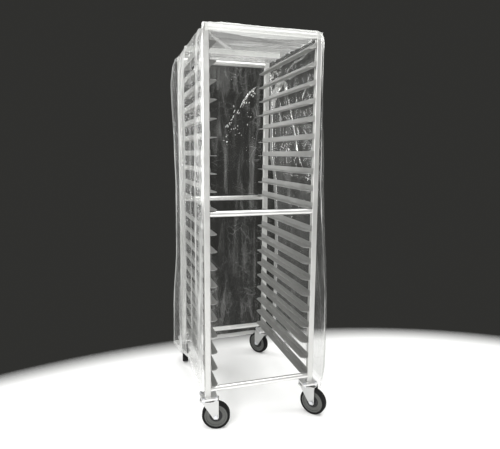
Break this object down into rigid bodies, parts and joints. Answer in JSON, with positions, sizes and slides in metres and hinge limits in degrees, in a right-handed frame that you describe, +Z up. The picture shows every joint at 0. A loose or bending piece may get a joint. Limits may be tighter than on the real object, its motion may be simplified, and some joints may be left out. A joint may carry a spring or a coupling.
{
  "type": "sheet pan rack",
  "caption": "Tall open-front rack that holds rows of sheet pans on pairs of side ledges, rolls on swivel casters and wears a clear slip-over film cover.",
  "frame": {"origin": "on the floor, under the middle of the four-post frame", "axes": "+Z up; -Y is the open front where the pans go in; +X is to the right seen from the front"},
  "size_m": [0.632, 0.855, 1.7489],
  "materials": {
    "post": "satin",
    "cap": "satin",
    "crossbar": "satin",
    "runner": "satin",
    "pad": "satin",
    "zinc_plate": "zinc plated",
    "zinc_pin": "zinc plated",
    "zinc_bolt": "zinc plated",
    "yoke": "zinc plated",
    "hub": "matt",
    "wheel_core": "satin",
    "tyre": "matt",
    "film": "clear soft film, glossy"
  },
  "bodies": {
    "frame": {"post_front_left": "post", "post_front_right": "post", "post_back_left": "post", "post_back_right": "post", "post_caps": "cap", "crossbar_front_top": "crossbar", "crossbar_back_top": "crossbar", "crossbar_front_middle": "crossbar", "crossbar_back_middle": "crossbar", "crossbar_front_bottom": "crossbar", "crossbar_back_bottom": "crossbar", "runner_pair_01": "runner", "runner_pair_02": "runner", "runner_pair_03": "runner", "runner_pair_04": "runner", "runner_pair_05": "runner", "runner_pair_06": "runner", "runner_pair_07": "runner", "runner_pair_08": "runner", "runner_pair_09": "runner", "runner_pair_10": "runner", "runner_pair_11": "runner", "runner_pair_12": "runner", "runner_pair_13": "runner", "runner_pair_14": "runner", "runner_pair_15": "runner", "runner_pair_16": "runner", "runner_pair_17": "runner", "runner_pair_18": "runner", "runner_pair_19": "runner", "runner_pair_20": "runner", "caster_pads": "pad", "caster_plates": "zinc_plate", "kingpins": "zinc_pin", "caster_bolts": "zinc_bolt", "caster_nuts": "zinc_bolt"},
    "swivel_front_left": {"yoke_front_left": "yoke", "axle_front_left": "zinc_bolt"},
    "wheel_front_left": {"wheel_hub_front_left": "hub", "wheel_core_front_left": "wheel_core", "tyre_front_left": "tyre"},
    "swivel_front_right": {"yoke_front_right": "yoke", "axle_front_right": "zinc_bolt"},
    "wheel_front_right": {"wheel_hub_front_right": "hub", "wheel_core_front_right": "wheel_core", "tyre_front_right": "tyre"},
    "swivel_back_left": {"yoke_back_left": "yoke", "axle_back_left": "zinc_bolt"},
    "wheel_back_left": {"wheel_hub_back_left": "hub", "wheel_core_back_left": "wheel_core", "tyre_back_left": "tyre"},
    "swivel_back_right": {"yoke_back_right": "yoke", "axle_back_right": "zinc_bolt"},
    "wheel_back_right": {"wheel_hub_back_right": "hub", "wheel_core_back_right": "wheel_core", "tyre_back_right": "tyre"},
    "cover": {"cover_top": "film", "cover_left": "film", "cover_right": "film", "cover_back": "film"}
  },
  "joints": [
    {"name": "caster_swivel_front_left", "type": "hinge", "parent": "frame", "child": "swivel_front_left", "pos_m": [-0.24265, -0.3379, 0.137], "axis": [0, 0, 1], "continuous": true},
    {"name": "wheel_spin_front_left", "type": "hinge", "parent": "swivel_front_left", "child": "wheel_front_left", "pos_m": [-0.21077, -0.34644, 0.0635], "axis": [0.2588, 0.9659, 0], "continuous": true},
    {"name": "caster_swivel_front_right", "type": "hinge", "parent": "frame", "child": "swivel_front_right", "pos_m": [0.24265, -0.3379, 0.137], "axis": [0, 0, 1], "continuous": true},
    {"name": "wheel_spin_front_right", "type": "hinge", "parent": "swivel_front_right", "child": "wheel_front_right", "pos_m": [0.26386, -0.36318, 0.0635], "axis": [0.766, 0.6428, 0], "continuous": true},
    {"name": "caster_swivel_back_left", "type": "hinge", "parent": "frame", "child": "swivel_back_left", "pos_m": [-0.24265, 0.3379, 0.137], "axis": [0, 0, 1], "continuous": true},
    {"name": "wheel_spin_back_left", "type": "hinge", "parent": "swivel_back_left", "child": "wheel_back_left", "pos_m": [-0.23749, 0.37049, 0.0635], "axis": [-0.9877, 0.1564, 0], "continuous": true},
    {"name": "caster_swivel_back_right", "type": "hinge", "parent": "frame", "child": "swivel_back_right", "pos_m": [0.24265, 0.3379, 0.137], "axis": [0, 0, 1], "continuous": true},
    {"name": "wheel_spin_back_right", "type": "hinge", "parent": "swivel_back_right", "child": "wheel_back_right", "pos_m": [0.2242, 0.36526, 0.0635], "axis": [-0.829, -0.5592, 0], "continuous": true},
    {"name": "cover_lift", "type": "slide", "parent": "frame", "child": "cover", "axis": [0, 0, 1], "range_m": [0, 1.65]}
  ]
}
